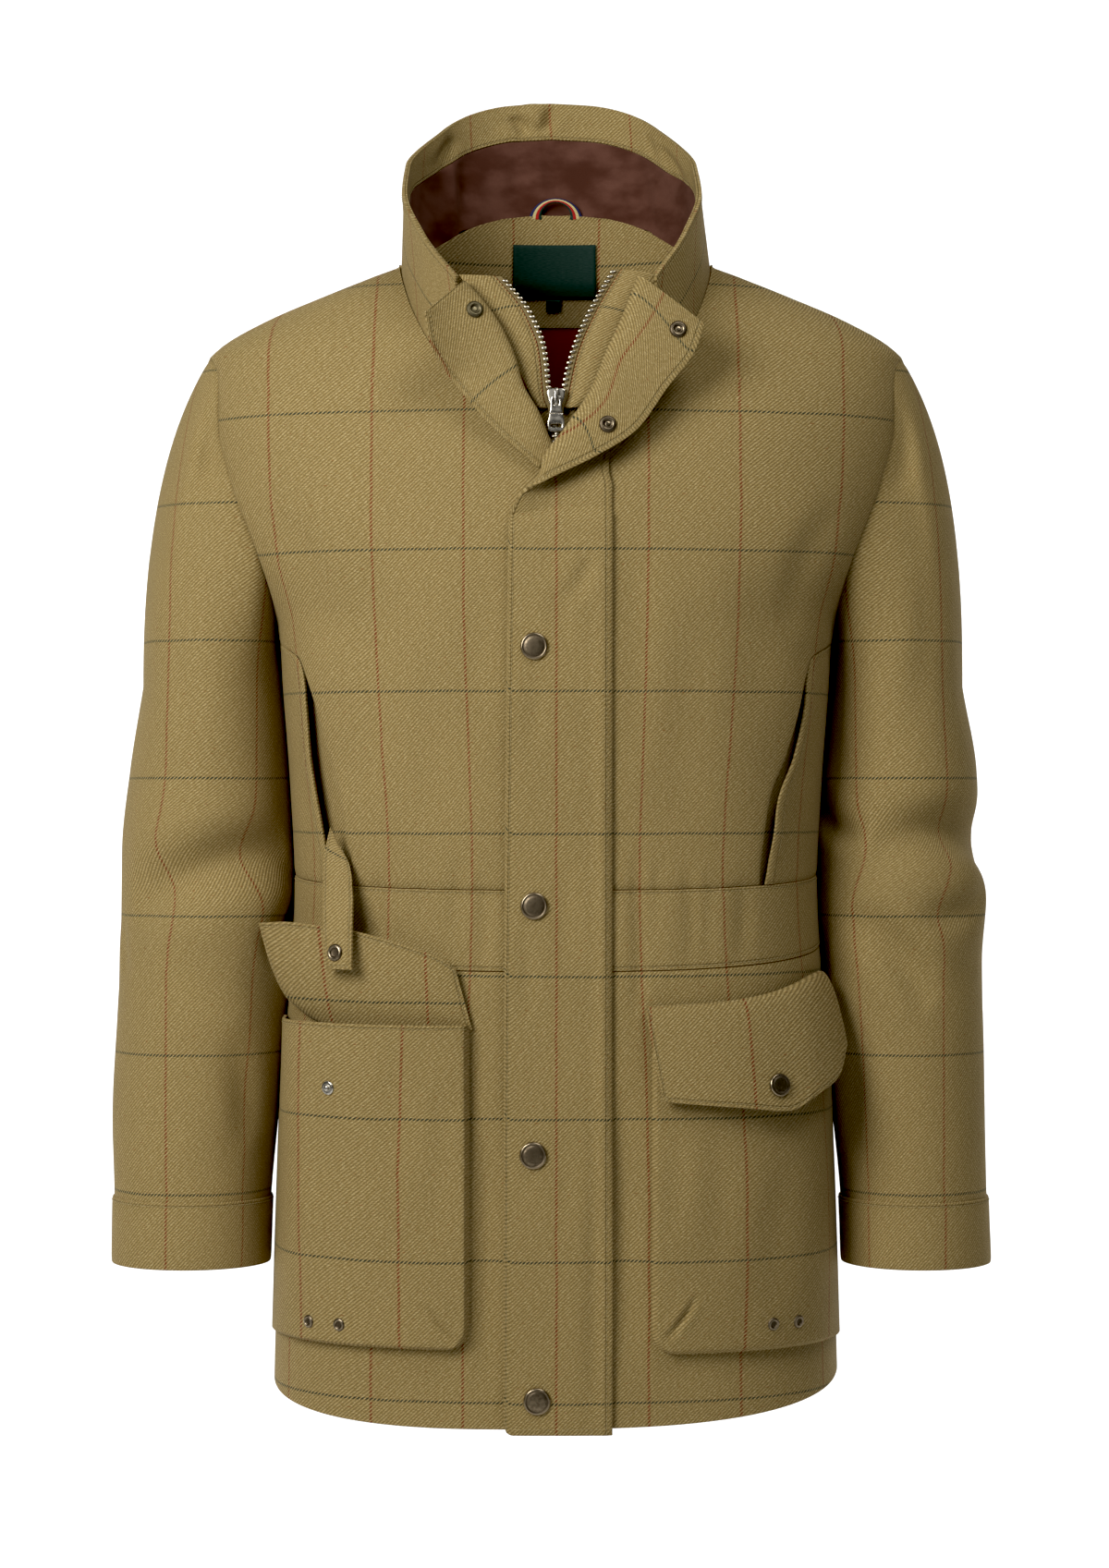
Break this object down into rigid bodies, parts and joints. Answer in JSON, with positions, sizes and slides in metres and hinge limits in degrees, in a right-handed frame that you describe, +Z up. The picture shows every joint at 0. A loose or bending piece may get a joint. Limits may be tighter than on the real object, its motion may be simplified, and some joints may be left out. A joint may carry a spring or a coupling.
{
  "type": "field coat",
  "caption": "Hip-length checked tweed field coat with its neck open: stand collar, zip under a snapped storm flap, slanted hand slits and bellows pockets with flaps.",
  "frame": {"origin": "midway between the two points where the shoulders meet the neck, where the wearer carries the coat", "axes": "+Z up, the front faces -Y, +X to the wearer's left"},
  "size_m": [0.5866, 0.2807, 0.8917],
  "materials": {
    "tweed": "olive-tan wool twill with a red and dark green windowpane check",
    "suede": "brown suede cloth",
    "rust_lining": "smooth rust lining",
    "zip_tape": "woven beige tape",
    "antique_brass": "darkened antique brass",
    "gunmetal": "dark polished zinc",
    "green_label": "plain dark green satin",
    "striped_cord": "striped woven cord"
  },
  "bodies": {
    "coat": {"back": "tweed", "front_right": "tweed", "front_left": "tweed", "side_right": "tweed", "side_left": "tweed", "waistband_right": "tweed", "waistband_left": "tweed", "skirt_right": "tweed", "skirt_left": "tweed", "sleeve_right": "tweed", "sleeve_left": "tweed", "cuff_right": "tweed", "cuff_left": "tweed", "collar_outer": "tweed", "collar_band": "tweed", "collar_lining": "suede", "neck_facing": "tweed", "body_lining": "rust_lining", "neck_label": "green_label", "size_tab": "green_label", "hanger_loop": "striped_cord", "storm_flap": "tweed", "underlap": "tweed", "zip_strip_right": "tweed", "zip_strip_left": "tweed", "zip_tape_right": "zip_tape", "zip_tape_left": "zip_tape", "zip_slider": "gunmetal", "hand_facing_right": "tweed", "hand_facing_left": "tweed", "pocket_right": "tweed", "pocket_left": "tweed", "pocket_flap_right": "tweed", "pocket_flap_left": "tweed", "hold_strap": "tweed", "flap_cap_1": "antique_brass", "flap_cap_2": "antique_brass", "flap_cap_3": "antique_brass", "flap_cap_4": "antique_brass", "pocket_cap_left": "antique_brass", "socket_lapel_top": "antique_brass", "socket_lapel_low": "antique_brass", "socket_underlap": "antique_brass", "socket_strap": "antique_brass", "pocket_stud": "antique_brass", "eyelet_right_1": "antique_brass", "eyelet_right_2": "antique_brass", "eyelet_left_1": "antique_brass", "eyelet_left_2": "antique_brass"},
    "pull": {"zip_pull": "gunmetal"}
  },
  "joints": [
    {"name": "zip_pull_swing", "type": "hinge", "parent": "coat", "child": "pull", "pos_m": [0.0002, -0.1232, -0.102], "axis": [-1, 0, 0], "range_deg": [0, 160]}
  ]
}
